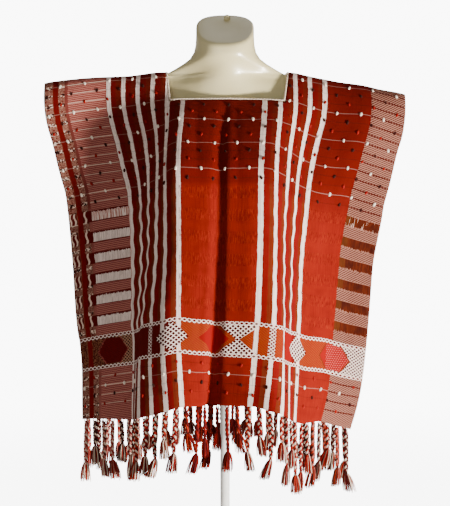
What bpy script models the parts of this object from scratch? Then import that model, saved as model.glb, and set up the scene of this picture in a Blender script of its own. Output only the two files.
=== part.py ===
"""A square-necked blouse of one folded cloth, worn by a limbless dress form on a pole stand.

The front faces -Y and +X is to the viewer's right. The origin is the middle of the stand's underside.
The cloth is mapped from its flat cut: s runs across it from the left selvedge as the viewer sees it, and
t runs down it from the shoulder fold. A table gives how far each warp line stands forward or back, and the
width and height of the worn cloth follow from the cut, because woven cloth hardly stretches.
"""

import math

import bmesh
import bpy
import numpy as np
from mathutils import Vector

MM = 0.001

# The cut of the cloth
CLOTH_WIDTH = 0.700
HALF_LENGTH = 0.665
WALL = 0.0015
SEAM_GAP = 0.0003
HEM_GAP = 0.0009
NECK_LEFT_S = 0.243
NECK_RIGHT_S = 0.463
NECK_FLARE = 0.010
NECK_FRONT_T = 0.074
NECK_BACK_T = 0.045
UNDERARM_T = 0.235
SLIT_T = 0.572

# The shoulder fold: where the cloth is along s, and how high it lies there
RIDGE_COLUMNS = ("s", "height")
RIDGE_ROWS = (
    (0, 877.5),
    (16, 880.5),
    (95, 888.5),
    (159, 891),
    (225, 898.5),
    (350, 900),
    (470, 898.5),
    (520, 889.2),
    (571, 879.6),
    (614, 873.8),
    (648, 866),
    (688, 859),
    (700, 856),
)

# The front: how far forward of the shoulder fold each warp line stands, in mm, at each distance t down the cloth.
# The names that end in _at say where along s that fold line runs. centre_x is where the middle trough hangs.
FRONT_COLUMNS = (
    "t", "edge_l", "foot_l_at", "foot_l", "rise_l_at", "rise_l", "brow_l_at", "brow_l", "trough_at", "trough",
    "brow_r_at", "brow_r", "foot_r_at", "foot_r", "band_r", "edge_r", "centre_x", "groove", "groove_width",
)
FRONT_ROWS = (
    (74, 16, 120, 12, 190, 28, 250, 44, 352, 44, 455, 43, 545, 21, 32, 16, 3, 1, 9),
    (120, 10, 130, 12, 190, 32, 256, 74, 352, 69, 450, 71, 536, 26, 33, 12, 1, 3, 10),
    (177, 9, 130, 14, 194, 48, 258, 101, 352, 98, 443, 100, 538, 39, 26, 11, -3, 5, 11),
    (235, 8, 128, 17, 196, 71, 260, 123, 352, 119, 440, 124, 540, 54, 20, 10, -5, 8, 12),
    (350, -4, 121, 18, 196, 82, 262, 133, 352, 127, 443, 130, 538, 53, 4, -4, -6, 11, 14),
    (500, -14, 118, 30, 184, 94, 248, 138, 350, 127, 455, 133, 538, 61, 3, -5, -10, 14, 16),
    (572, -20, 118, 33, 180, 99, 252, 141, 349, 121, 462, 136, 537, 70, 8, -9, -14, 16, 18),
    (665, -19, 119, 38, 177, 105, 262, 139, 348, 106, 475, 144, 536, 89, 13, -13, -18, 18, 20),
)
GROOVE_AT_TOP = 350
GROOVE_AT_HEM = 338

# The back: how far behind the shoulder fold it stands. fold is the depth of its hanging folds.
BACK_COLUMNS = ("t", "edge_l", "side_l", "blade_l", "blade_r", "side_r", "edge_r", "fold")
BACK_ROWS = (
    (74, 20, 34, 60, 60, 34, 22, 0),
    (120, 21, 42, 78, 78, 42, 22, 1),
    (177, 12, 46, 92, 92, 46, 12, 3),
    (235, -8, 40, 98, 98, 40, -12, 8),
    (350, 9, 54, 116, 116, 52, 7, 30),
    (500, 20, 66, 132, 132, 66, 14, 48),
    (572, 24, 70, 137, 137, 70, 22, 54),
    (665, 38, 78, 140, 140, 78, 46, 58),
)
BACK_SIDE_AT = 105
BACK_BLADE_AT = 205
BACK_FOLD_COLUMNS = ("at", "half_width", "share")
BACK_FOLD_ROWS = (
    (214, 44, 0.8),
    (303, 46, 1.0),
    (396, 48, 0.92),
    (484, 42, 0.85),
)

# Each fold line is rounded over this much cloth
FOLD_ROUND = 0.026
SAMPLE = 0.001
BELOW_HEM = 0.010

# How finely the two walls are divided
FRONT_ACROSS = 42
BACK_ACROSS = 36
ROWS_AT = (0.0, 2, 6, 14, 26, 48, 74, 97, 120, 148, 177, 206, 235, 273, 311, 350, 388, 425, 463, 500, 536, 572, 618, 665)

# The neck's corded edge
CORD_RADIUS = 0.0016

# The fringe: the strands' roots, then their shape below
STRIP_DROP = 0.004
ROOT_HALF = 0.0026
STRAND_HALF = 0.0027
TIE_HALF = 0.0019
TASSEL_HALF = 0.0046
TASSEL_LENGTH = 0.032
STRAND_COLUMNS = ("length", "lean")
FRONT_STRANDS = (
    (120, 1), (88, -1), (112, -2), (114, 0), (82, 2), (112, -1), (116, 1), (96, 0), (114, -2), (108, 1),
    (116, 2), (86, -1), (118, -3), (84, -1), (122, -3), (96, 1), (118, -1), (84, 0), (120, 2), (86, 1),
    (118, -2), (88, 1), (122, -2), (86, -1), (122, -3), (90, 1), (134, -2), (126, 0), (96, 1), (122, -1),
    (112, 1), (84, -1), (116, 2), (124, 5),
)
BACK_STRAND_COUNT = 32
BACK_STRAND_LENGTH = 0.106
BACK_STRAND_SPREAD = 0.014
FRINGE_END_INSET = 0.010

# The dress form: rings from its flat underside up to its neck. boxy and tilt are in thousandths:
# how far a ring's outline is squared, and how steeply it slopes down to the front.
FORM_COLUMNS = (
    "height", "half_width", "wing_front", "core_front", "wing_back", "core_back", "core_reach", "boxy", "tilt",
)
FORM_ROWS = (
    (470, 112, 74, 74, 66, 66, 200, 0, 0),
    (477, 122, 84, 84, 75, 75, 200, 0, 0),
    (520, 125, 88, 88, 79, 79, 200, 0, 0),
    (580, 131, 96, 96, 82, 82, 200, 0, 0),
    (640, 140, 105, 105, 84, 84, 200, 0, 0),
    (692, 146, 101, 101, 84, 84, 200, 0, 0),
    (735, 152, 84, 85, 81, 81, 200, 0, 0),
    (775, 160, 58, 65, 70, 76, 160, 0, 0),
    (810, 172, 32, 49, 50, 60, 130, 0, 0),
    (838, 186, 19, 38, 31, 47, 110, 0, 0),
    (858, 195, 14, 36, 20, 38, 92, 0, 0),
    (871, 196, 10, 37, 13, 34, 80, 0, 0),
    (879, 195, 8, 40, 8, 33, 70, 0, 0),
    (884, 194, 5, 42, 5, 33, 64, 0, 0),
    (889, 169, 5, 44, 5, 33, 60, 0, 0),
    (893, 122, 6, 46, 6, 34, 58, 0, 0),
    (898, 110, 9, 48, 8, 35, 60, 0, 0),
    (906, 96, 18, 51, 12, 36, 64, 0, 0),
    (915, 81, 32, 55, 20, 37, 76, 0, 40),
    (925, 68, 46, 59, 28, 38, 100, 50, 120),
    (938, 60, 58, 63, 35, 39, 150, 100, 240),
    (952, 57, 64, 64, 39, 39, 200, 150, 370),
    (970, 56, 64, 64, 40, 40, 200, 200, 560),
)
FORM_SIDES = 48
NECK_CAP_HEIGHT = 0.990
NECK_CAP_TILT = 0.75
NECK_CAP_HOLLOW = 0.004
NECK_EDGE_ROUND = 0.005
NECK_EDGE_STEPS = 3

# The stand
POLE_RADIUS = 0.009
FLANGE_RADIUS = 0.034
FLANGE_THICK = 0.006
BASE_RADIUS = 0.155
BASE_THICK = 0.006
BASE_EDGE_ROUND = 0.002
HUB_RADIUS = 0.019
HUB_HEIGHT = 0.020
ROUND_SIDES = 40


def clear_scene():
    for old in list(bpy.data.objects):
        bpy.data.objects.remove(old)


def column(rows, names, name):
    """One named column of a table, in metres where the table holds mm."""
    return np.array([row[names.index(name)] for row in rows], float) * MM


def smooth_through(at, values, wanted):
    """A smooth curve through the points, with no overshoot between them."""
    steps = np.diff(at)
    slopes = np.diff(values) / steps
    tangents = np.zeros(len(at))
    for i in range(1, len(at) - 1):
        if slopes[i - 1] * slopes[i] > 0:
            tangents[i] = 2 / (1 / slopes[i - 1] + 1 / slopes[i])
    tangents[0] = slopes[0]
    tangents[-1] = slopes[-1]
    inside = np.clip(wanted, at[0], at[-1])
    left = np.clip(np.searchsorted(at, inside, side="right") - 1, 0, len(at) - 2)
    share = (inside - at[left]) / steps[left]
    square, cube = share**2, share**3
    return (
        (2 * cube - 3 * square + 1) * values[left]
        + (cube - 2 * square + share) * steps[left] * tangents[left]
        + (3 * square - 2 * cube) * values[left + 1]
        + (cube - square) * steps[left] * tangents[left + 1]
    )


S_SAMPLES = np.arange(0, CLOTH_WIDTH + SAMPLE / 2, SAMPLE)
T_SAMPLES = np.arange(0, HALF_LENGTH + BELOW_HEM + SAMPLE / 2, SAMPLE)


def rounded(profile):
    """The profile with each fold line rounded: a running mean, its ends carried on straight."""
    half = round(FOLD_ROUND / SAMPLE / 2)
    for _ in range(2):
        low = profile[0] - (profile[1:half + 1] - profile[0])[::-1]
        high = profile[-1] - (profile[-half - 1:-1] - profile[-1])[::-1]
        joined = np.concatenate([low, profile, high])
        profile = np.convolve(joined, np.ones(2 * half + 1) / (2 * half + 1), "valid")
    return profile


def table_depth(rows, names, section):
    """Depth over all of T_SAMPLES and S_SAMPLES, below the table's first row, from section(values, t)."""
    levels = column(rows, names, "t")
    below = T_SAMPLES >= levels[0]
    smooth = {n: smooth_through(levels, column(rows, names, n), T_SAMPLES[below]) for n in names[1:]}
    depth = np.zeros((len(T_SAMPLES), len(S_SAMPLES)))
    for row, t in enumerate(T_SAMPLES[below]):
        values = {n: smooth[n][row] for n in smooth}
        depth[np.flatnonzero(below)[row]] = section(values, t)
    return over_the_shoulder(depth, int(np.argmax(below)))


def over_the_shoulder(depth, first):
    """Fills the rows above the table: the cloth leaves the fold level and turns down to meet the table."""
    reach = T_SAMPLES[first]
    met = depth[first]
    slope = (depth[first + 6] - depth[first]) / (6 * SAMPLE)
    spare = np.maximum(met - slope * reach, 0.004)
    turn = spare / np.maximum(1 - slope, 0.2)
    for row in range(first):
        t = T_SAMPLES[row]
        share = (1 - np.exp(-t / turn)) / (1 - np.exp(-reach / turn))
        depth[row] = slope * t + (met - slope * reach) * share
    return depth


def front_section(v, t):
    at = [0, v["foot_l_at"], v["rise_l_at"], v["brow_l_at"], v["trough_at"], v["brow_r_at"], v["foot_r_at"],
          CLOTH_WIDTH - 68 * MM, CLOTH_WIDTH]
    depth = [v["edge_l"], v["foot_l"], v["rise_l"], v["brow_l"], v["trough"], v["brow_r"], v["foot_r"],
             v["band_r"], v["edge_r"]]
    profile = rounded(np.interp(S_SAMPLES, at, depth))
    down = t / HALF_LENGTH
    groove_at = (GROOVE_AT_TOP + (GROOVE_AT_HEM - GROOVE_AT_TOP) * down) * MM
    return profile - v["groove"] * np.exp(-(((S_SAMPLES - groove_at) / v["groove_width"]) ** 2))


def back_section(v, t):
    at = [0, BACK_SIDE_AT * MM, BACK_BLADE_AT * MM, CLOTH_WIDTH - BACK_BLADE_AT * MM,
          CLOTH_WIDTH - BACK_SIDE_AT * MM, CLOTH_WIDTH]
    depth = [v["edge_l"], v["side_l"], v["blade_l"], v["blade_r"], v["side_r"], v["edge_r"]]
    profile = np.interp(S_SAMPLES, at, depth)
    for row in BACK_FOLD_ROWS:
        fold = dict(zip(BACK_FOLD_COLUMNS, row))
        near = np.clip(np.abs(S_SAMPLES - fold["at"] * MM) / (fold["half_width"] * MM), 0, 1)
        profile = profile - v["fold"] * fold["share"] * (1 - near)
    return rounded(profile)


def widths_from(depth, ridge):
    """X measured along the cloth from its left selvedge: what is left of each stretch after its depth and slope."""
    across = np.diff(depth, axis=1)
    fall = np.diff(ridge)[None, :]
    steps = np.sqrt(np.maximum(SAMPLE**2 - across**2 - fall**2, (0.18 * SAMPLE) ** 2))
    return np.concatenate([np.zeros((len(depth), 1)), np.cumsum(steps, axis=1)], axis=1)


def heights_from(x, depth, ridge):
    """Z down each warp thread: what is left of each stretch after its moves across and forward."""
    moved = np.diff(x, axis=0) ** 2 + np.diff(depth, axis=0) ** 2
    steps = np.sqrt(np.maximum(SAMPLE**2 - moved, (0.05 * SAMPLE) ** 2))
    return np.concatenate([ridge[None, :], ridge[None, :] - np.cumsum(steps, axis=0)])


def ridge_heights():
    return smooth_through(
        column(RIDGE_ROWS, RIDGE_COLUMNS, "s"), column(RIDGE_ROWS, RIDGE_COLUMNS, "height"), S_SAMPLES
    )


def front_cloth():
    """Points of the front's inner face, as a grid over T_SAMPLES and S_SAMPLES."""
    ridge = ridge_heights()
    depth = table_depth(FRONT_ROWS, FRONT_COLUMNS, front_section)
    x = widths_from(depth, ridge)
    levels = np.concatenate([[0], column(FRONT_ROWS, FRONT_COLUMNS, "t")])
    centres = np.concatenate([[3 * MM], column(FRONT_ROWS, FRONT_COLUMNS, "centre_x")])
    hang = smooth_through(levels, centres, T_SAMPLES)
    middle = round(352 * MM / SAMPLE)
    x = x - x[:, middle:middle + 1] + hang[:, None]
    z = heights_from(x, depth, ridge)
    return np.stack([x, -depth, z], axis=2)


def back_cloth(front):
    """The back's inner face. Its selvedges meet the front's at the fold and from the underarm to the slit."""
    ridge = ridge_heights()
    depth = table_depth(BACK_ROWS, BACK_COLUMNS, back_section)
    x = widths_from(depth, ridge)
    left = front[:, :1, 0]
    right = front[:, -1:, 0]
    ratio = (right - left) / x[:, -1:]
    x = left + x * ratio
    z = heights_from(x, depth, ridge)
    back = np.stack([x, depth, z], axis=2)
    return meet_at_selvedges(back, front)


def meet_at_selvedges(back, front):
    """Draws the back's selvedges onto the front's where they are sewn, easing off within a hand's width."""
    reach = 0.090
    sewn = np.clip((T_SAMPLES - UNDERARM_T + 0.035) / 0.035, 0, 1)
    opened = np.clip((T_SAMPLES - SLIT_T) / (HALF_LENGTH - SLIT_T), 0, 1)
    pull = (sewn * sewn * (3 - 2 * sewn) * (1 - opened))[:, None]
    for edge, distance in ((0, S_SAMPLES), (-1, CLOTH_WIDTH - S_SAMPLES)):
        near = np.clip(1 - distance / reach, 0, 1)
        near = (near * near * (3 - 2 * near))[None, :, None]
        gap = front[:, edge] - back[:, edge]
        back = back + near * (gap * pull)[:, None, :]
    return back


def point_on(cloth, s, t):
    """A point of a cloth grid at any s and t, between its samples."""
    column_at = min(max(s / SAMPLE, 0), len(S_SAMPLES) - 1.001)
    row_at = min(max(t / SAMPLE, 0), len(T_SAMPLES) - 1.001)
    i, j = int(row_at), int(column_at)
    a, b = row_at - i, column_at - j
    corners = cloth[i:i + 2, j:j + 2]
    top = corners[0, 0] * (1 - b) + corners[0, 1] * b
    low = corners[1, 0] * (1 - b) + corners[1, 1] * b
    return Vector(top * (1 - a) + low * a)


def outward_at(cloth, s, t, facing):
    """The unit normal of a cloth grid, away from the wearer: facing is 1 in front and -1 behind."""
    reach = 2 * SAMPLE
    s = min(max(s, reach), CLOTH_WIDTH - reach)
    t = min(max(t, reach), HALF_LENGTH + BELOW_HEM - 2 * reach)
    across = point_on(cloth, s + reach, t) - point_on(cloth, s - reach, t)
    down = point_on(cloth, s, t + reach) - point_on(cloth, s, t - reach)
    normal = down.cross(across).normalized()
    return normal * facing


def spread_between(stops, total):
    """Values from the first stop to the last that pass through each stop, about total steps in all."""
    span = stops[-1] - stops[0]
    values = [stops[0]]
    for low, high in zip(stops, stops[1:]):
        count = max(1, round(total * (high - low) / span))
        values += [low + (high - low) * k / count for k in range(1, count + 1)]
    return values


def material(name, colour, roughness, metallic=0.0):
    made = bpy.data.materials.new(name)
    made.use_nodes = True
    shader = made.node_tree.nodes["Principled BSDF"]
    shader.inputs["Base Color"].default_value = (*colour, 1)
    shader.inputs["Roughness"].default_value = roughness
    shader.inputs["Metallic"].default_value = metallic
    return made


def new_object(name, mesh, collection, finish):
    made = bpy.data.objects.new(name, mesh)
    made.data.materials.append(finish)
    collection.objects.link(made)
    return made


def neck_s(s, t, neck_t):
    """The neck's cut sides spread towards the shoulder fold, and the cloth beside them with it."""
    rise = max(0, 1 - t / neck_t) * NECK_FLARE
    if s <= NECK_LEFT_S:
        return s - rise * s / NECK_LEFT_S
    if s >= NECK_RIGHT_S:
        return s + rise * (CLOTH_WIDTH - s) / (CLOTH_WIDTH - NECK_RIGHT_S)
    return s


def wall_columns(across):
    """Where a wall's columns of faces run along s."""
    edge = SEAM_GAP / 2
    return spread_between([edge, NECK_LEFT_S, NECK_RIGHT_S, CLOTH_WIDTH - edge], across)


def wall_rows(neck_t):
    """Where a wall's rows of faces run along t."""
    clear = [t * MM for t in ROWS_AT if t > 0 and abs(t * MM - neck_t) > 0.004]
    return sorted([SEAM_GAP / 2, neck_t] + clear)


def wall(name, cloth, across, neck_t, collection, finish):
    """A cloth wall: an open grid on the cloth's inner face, with the neck cut away, thickened outwards."""
    s_lines = wall_columns(across)
    t_lines = wall_rows(neck_t)
    grid = bmesh.new()
    bmesh.ops.create_grid(grid, x_segments=len(s_lines) - 1, y_segments=len(t_lines) - 1, size=1)
    grid.verts.ensure_lookup_table()
    hole = []
    for face in grid.faces:
        spots = [(s_lines[v.index % len(s_lines)], t_lines[v.index // len(s_lines)]) for v in face.verts]
        if all(NECK_LEFT_S <= s <= NECK_RIGHT_S and t <= neck_t for s, t in spots):
            hole.append(face)
    for k, vertex in enumerate(grid.verts):
        s, t = s_lines[k % len(s_lines)], t_lines[k // len(s_lines)]
        vertex.co = point_on(cloth, neck_s(s, t, neck_t), t)
    bmesh.ops.delete(grid, geom=hole, context="FACES")
    first = next(iter(grid.faces))
    first.normal_update()
    centre = first.calc_center_median()
    if first.normal.y * centre.y < 0:
        bmesh.ops.reverse_faces(grid, faces=grid.faces)
    mesh = bpy.data.meshes.new(name)
    grid.to_mesh(mesh)
    grid.free()
    mesh.shade_smooth()
    made = new_object(name, mesh, collection, finish)
    solid = made.modifiers.new("cloth thickness", "SOLIDIFY")
    solid.thickness = WALL
    solid.offset = 1
    solid.use_even_offset = True
    return made


def neck_side_path(cloth, facing, neck_t):
    """Centres of the neck cord round one side's cut edge, from the left of the fold to the right of it."""
    inset = CORD_RADIUS + SEAM_GAP + 0.0004
    corner = 0.004
    left, right = NECK_LEFT_S + inset, NECK_RIGHT_S - inset
    low = neck_t - inset
    flat = [(left, low * k / 6) for k in range(6)]
    flat += [(left, low - corner), (left + corner * 0.3, low - corner * 0.3), (left + corner, low)]
    flat += [(left + corner + (right - left - 2 * corner) * k / 14, low) for k in range(1, 14)]
    flat += [(right - corner, low), (right - corner * 0.3, low - corner * 0.3), (right, low - corner)]
    flat += [(right, low * k / 6) for k in range(5, -1, -1)]
    centres = []
    for s, t in flat:
        s = s - NECK_FLARE * max(0, 1 - t / neck_t) * (1 if s < (left + right) / 2 else -1)
        out = outward_at(cloth, s, max(t, 0.004), facing)
        centres.append(point_on(cloth, s, t) + out * WALL * 0.6)
    return centres


def neck_cord(front, back, collection, finish):
    """The rolled cord that edges the neck: one closed tube, front and back."""
    ahead = neck_side_path(front, 1, NECK_FRONT_T)
    behind = neck_side_path(back, -1, NECK_BACK_T)
    path = ahead + behind[::-1][1:-1]
    curve = bpy.data.curves.new("neck binding", "CURVE")
    curve.dimensions = "3D"
    curve.bevel_depth = CORD_RADIUS
    curve.bevel_resolution = 2
    curve.resolution_u = 1
    spline = curve.splines.new("POLY")
    spline.points.add(len(path) - 1)
    for point, place in zip(spline.points, path):
        point.co = (*place, 1)
    spline.use_cyclic_u = True
    return new_object("neck_binding", curve, collection, finish)


def along_wall(cloth, columns, s, t, facing):
    """A point straight between two of the wall's columns, and the step from it through the wall."""
    k = next(k for k in range(len(columns) - 1) if s <= columns[k + 1])
    share = (s - columns[k]) / (columns[k + 1] - columns[k])
    point = point_on(cloth, columns[k], t).lerp(point_on(cloth, columns[k + 1], t), share)
    steps = [outward_at(cloth, c, HALF_LENGTH, facing) * WALL for c in columns[k:k + 2]]
    return point, steps[0].lerp(steps[1], share)


def strand_sections(length):
    """Distance down, half width, and share of the lean, at each section of one plait and its tassel."""
    tie = length - TASSEL_LENGTH
    return (
        (0.005, STRAND_HALF, 0.0),
        (tie * 0.5, STRAND_HALF, 0.3),
        (tie - 0.004, STRAND_HALF, 0.7),
        (tie, TIE_HALF, 0.72),
        (tie + 0.010, TASSEL_HALF * 0.86, 0.8),
        (length, TASSEL_HALF, 1.0),
    )


def fringe(name, cloth, facing, across, strands, collection, finish):
    """A narrow strip under the hem with a strand hanging from each of its root faces, as one body."""
    top = HALF_LENGTH + HEM_GAP
    low = top + STRIP_DROP
    columns = wall_columns(across)
    count = len(strands)
    pitch = (CLOTH_WIDTH - 2 * FRINGE_END_INSET) / (count - 1)
    middles = [FRINGE_END_INSET + pitch * k for k in range(count)]
    lines = [0.001]
    for s in middles:
        lines += [s - ROOT_HALF, s + ROOT_HALF]
    lines.append(CLOTH_WIDTH - 0.001)
    made = bmesh.new()
    rows = []
    for s in lines:
        inner, out = along_wall(cloth, columns, s, top, facing)
        inner_low, _ = along_wall(cloth, columns, s, low, facing)
        rows.append([made.verts.new(p) for p in (inner, inner + out, inner_low + out, inner_low)])
    made.faces.new(rows[0])
    made.faces.new(rows[-1][::-1])
    for k, (a, b) in enumerate(zip(rows, rows[1:])):
        made.faces.new((a[0], a[1], b[1], b[0]))
        made.faces.new((a[1], a[2], b[2], b[1]))
        made.faces.new((a[3], a[0], b[0], b[3]))
        if k % 2 == 0:
            made.faces.new((a[2], a[3], b[3], b[2]))
        else:
            hang_strand(made, (a[3], b[3], b[2], a[2]), strands[(k - 1) // 2])
    bmesh.ops.recalc_face_normals(made, faces=made.faces)
    mesh = bpy.data.meshes.new(name)
    made.to_mesh(mesh)
    made.free()
    return new_object(name, mesh, collection, finish)


def hang_strand(made, root, strand):
    """Grows one four-sided strand straight down from its root face."""
    middle = sum((v.co for v in root), Vector()) / 4
    along = root[1].co - root[0].co
    along.z = 0
    along.normalize()
    out = Vector((0, 0, 1)).cross(along)
    if out.dot(root[3].co - root[0].co) < 0:
        out = -out
    ring = root
    for down, half, share in strand_sections(strand["length"]):
        centre = middle + along * strand["lean"] * share - Vector((0, 0, down))
        corners = ((-half, -half), (half, -half), (half, half), (-half, half))
        below = [made.verts.new(centre + along * a + out * b) for a, b in corners]
        for k in range(4):
            made.faces.new((ring[k], ring[(k + 1) % 4], below[(k + 1) % 4], below[k]))
        ring = below
    made.faces.new(ring)


def squared(part, boxy):
    """A sine or cosine pushed outwards, which turns a round outline into a squarer one."""
    return math.copysign(abs(part) ** (1 - boxy), part)


def form_ring(v, share=1.0):
    """One outline of the form: deeper at its middle, thinner at its shoulders, squarer where it is boxy."""
    points = []
    for k in range(FORM_SIDES):
        turn = 2 * math.pi * k / FORM_SIDES
        across, along = squared(math.cos(turn), v["boxy"]), squared(math.sin(turn), v["boxy"])
        x = v["half_width"] * across
        core = math.exp(-((x / v["core_reach"]) ** 2))
        side = "front" if along < 0 else "back"
        depth = v["wing_" + side] + (v["core_" + side] - v["wing_" + side]) * core
        points.append(Vector((x * share, depth * along * share, v["tilt"] * depth * along * share)))
    return points


def dress_form(collection, finish):
    """The limbless form: a smooth torso with shoulders and a neck that ends in a slanted, hollowed face."""
    made = bmesh.new()
    rings = []
    for row in FORM_ROWS:
        v = {name: row[k] * MM for k, name in enumerate(FORM_COLUMNS)}
        rings.append([made.verts.new(p + Vector((0, 0, v["height"]))) for p in form_ring(v)])
    top = dict(v, tilt=NECK_CAP_TILT)
    for k in range(NECK_EDGE_STEPS + 1):
        turn = math.pi / 2 * k / NECK_EDGE_STEPS
        inset = NECK_EDGE_ROUND * (1 - math.cos(turn))
        drop = NECK_EDGE_ROUND * (1 - math.sin(turn))
        outline = form_ring(top, 1 - inset / top["half_width"])
        lift = Vector((0, 0, NECK_CAP_HEIGHT - drop))
        rings.append([made.verts.new(p + lift) for p in outline])
    inner = form_ring(top, 0.5)
    lift = Vector((0, 0, NECK_CAP_HEIGHT - NECK_CAP_HOLLOW))
    rings.append([made.verts.new(p + lift) for p in inner])
    for lower, upper in zip(rings, rings[1:]):
        for k in range(FORM_SIDES):
            after = (k + 1) % FORM_SIDES
            made.faces.new((lower[k], lower[after], upper[after], upper[k]))
    made.faces.new(rings[0][::-1])
    made.faces.new(rings[-1])
    bmesh.ops.recalc_face_normals(made, faces=made.faces)
    mesh = bpy.data.meshes.new("dress form")
    made.to_mesh(mesh)
    made.free()
    mesh.shade_smooth()
    return new_object("dress_form", mesh, collection, finish)


def turned(name, profile, collection, finish):
    """A round piece from half its outline, given from its top to its foot."""
    mesh = bpy.data.meshes.new(name)
    points = [(x, 0, z) for x, z in profile]
    mesh.from_pydata(points, [(k, k + 1) for k in range(len(points) - 1)], [])
    made = new_object(name, mesh, collection, finish)
    screw = made.modifiers.new("turned", "SCREW")
    screw.axis = "Z"
    screw.steps = ROUND_SIDES
    screw.render_steps = ROUND_SIDES
    screw.use_merge_vertices = True
    screw.merge_threshold = 0.00001
    screw.use_smooth_shade = True
    return made


def stand(collection, finish):
    hub_top = BASE_THICK + HUB_HEIGHT
    seat = FORM_ROWS[0][0] * MM - SEAM_GAP
    foot = hub_top + SEAM_GAP
    turned("stand_pole", (
        (0, seat), (FLANGE_RADIUS, seat), (FLANGE_RADIUS, seat - FLANGE_THICK),
        (POLE_RADIUS + 0.006, seat - FLANGE_THICK - 0.006), (POLE_RADIUS, seat - FLANGE_THICK - 0.018),
        (POLE_RADIUS, foot), (0, foot),
    ), collection, finish)
    turned("stand_base", (
        (0, hub_top), (HUB_RADIUS - 0.002, hub_top), (HUB_RADIUS, hub_top - 0.002),
        (HUB_RADIUS + 0.003, BASE_THICK + 0.004), (HUB_RADIUS + 0.012, BASE_THICK + 0.001),
        (BASE_RADIUS - BASE_EDGE_ROUND, BASE_THICK), (BASE_RADIUS, BASE_THICK - BASE_EDGE_ROUND),
        (BASE_RADIUS, 0.001), (BASE_RADIUS - 0.001, 0), (0, 0),
    ), collection, finish)


def build(collection):
    cloth_red = material("orange-red woven cloth", (0.45, 0.05, 0.02), 0.85)
    cord_cream = material("cream cotton cord", (0.72, 0.66, 0.54), 0.8)
    yarn_red = material("plaited red yarn", (0.30, 0.04, 0.03), 0.85)
    shell_cream = material("cream moulded plastic", (0.78, 0.72, 0.58), 0.35)
    stand_white = material("pale painted metal", (0.82, 0.80, 0.76), 0.4)
    front = front_cloth()
    back = back_cloth(front)
    wall("blouse_front", front, FRONT_ACROSS, NECK_FRONT_T, collection, cloth_red)
    wall("blouse_back", back, BACK_ACROSS, NECK_BACK_T, collection, cloth_red)
    neck_cord(front, back, collection, cord_cream)
    ahead = [{name: value * MM for name, value in zip(STRAND_COLUMNS, row)} for row in FRONT_STRANDS]
    behind = [
        {
            "length": BACK_STRAND_LENGTH + BACK_STRAND_SPREAD * math.sin(2.4 * k) * math.cos(0.7 * k),
            "lean": MM * math.sin(1.7 * k),
        }
        for k in range(BACK_STRAND_COUNT)
    ]
    fringe("fringe_front", front, 1, FRONT_ACROSS, ahead, collection, yarn_red)
    fringe("fringe_back", back, -1, BACK_ACROSS, behind, collection, yarn_red)
    dress_form(collection, shell_cream)
    stand(collection, stand_white)


def main():
    clear_scene()
    collection = bpy.data.collections.new("blouse on a dress form")
    bpy.context.scene.collection.children.link(collection)
    build(collection)


main()
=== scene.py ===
import math
import random

import bmesh
import bpy
import numpy as np
from mathutils import Matrix, Vector


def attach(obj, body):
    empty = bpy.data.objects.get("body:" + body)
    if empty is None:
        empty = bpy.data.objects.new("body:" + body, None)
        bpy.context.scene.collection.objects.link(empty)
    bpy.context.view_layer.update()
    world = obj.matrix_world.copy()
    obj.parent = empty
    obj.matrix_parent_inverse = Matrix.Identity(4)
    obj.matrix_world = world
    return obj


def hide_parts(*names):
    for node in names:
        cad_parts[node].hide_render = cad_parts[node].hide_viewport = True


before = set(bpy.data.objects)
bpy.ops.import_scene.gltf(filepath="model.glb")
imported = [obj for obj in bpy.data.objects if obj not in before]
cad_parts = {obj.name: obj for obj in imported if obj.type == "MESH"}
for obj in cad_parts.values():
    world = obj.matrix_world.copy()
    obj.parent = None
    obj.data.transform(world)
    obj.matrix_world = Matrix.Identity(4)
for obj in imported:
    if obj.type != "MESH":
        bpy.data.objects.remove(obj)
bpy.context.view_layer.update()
print("frame loaded")

mm = 0.001


def placed(name, data):
    made = bpy.data.objects.new(name, data)
    bpy.context.scene.collection.objects.link(made)
    return made


# A smooth piece from a finished bmesh
def pieceFrom(name, shape, finish):
    mesh = bpy.data.meshes.new(name)
    shape.to_mesh(mesh)
    shape.free()
    mesh.shade_smooth()
    mesh.materials.append(finish)
    return placed(name, mesh)


# The cloth: s runs across it from the left selvedge, t down it from the shoulder fold
cloth = {
    "width": 0.700,
    "halfLength": 0.665,
    "thickness": 0.0012,
    "shoulderGap": 0.0003,
    "liftOffSolid": 0.0001,
    "neckLeft": 0.243,
    "neckRight": 0.463,
    "neckFlare": 0.010,
    "neckFront": 0.074,
    "neckBack": 0.045,
    "underarm": 0.235,
    "slit": 0.572,
    "foldRound": 0.026,
    "columns": 200,
    "rowStep": 0.0036,
}
ridgeColumns = ("s", "height")
ridgeRows = (
    (0, 877.5), (16, 880.5), (95, 888.5), (159, 891), (225, 898.5), (350, 900), (470, 898.5),
    (520, 889.2), (571, 879.6), (614, 873.8), (648, 866), (688, 859), (700, 856),
)
frontColumns = (
    "t", "edgeL", "footLAt", "footL", "riseLAt", "riseL", "browLAt", "browL", "troughAt", "trough",
    "browRAt", "browR", "footRAt", "footR", "bandR", "edgeR", "centreX", "groove", "grooveWidth",
)
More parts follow.
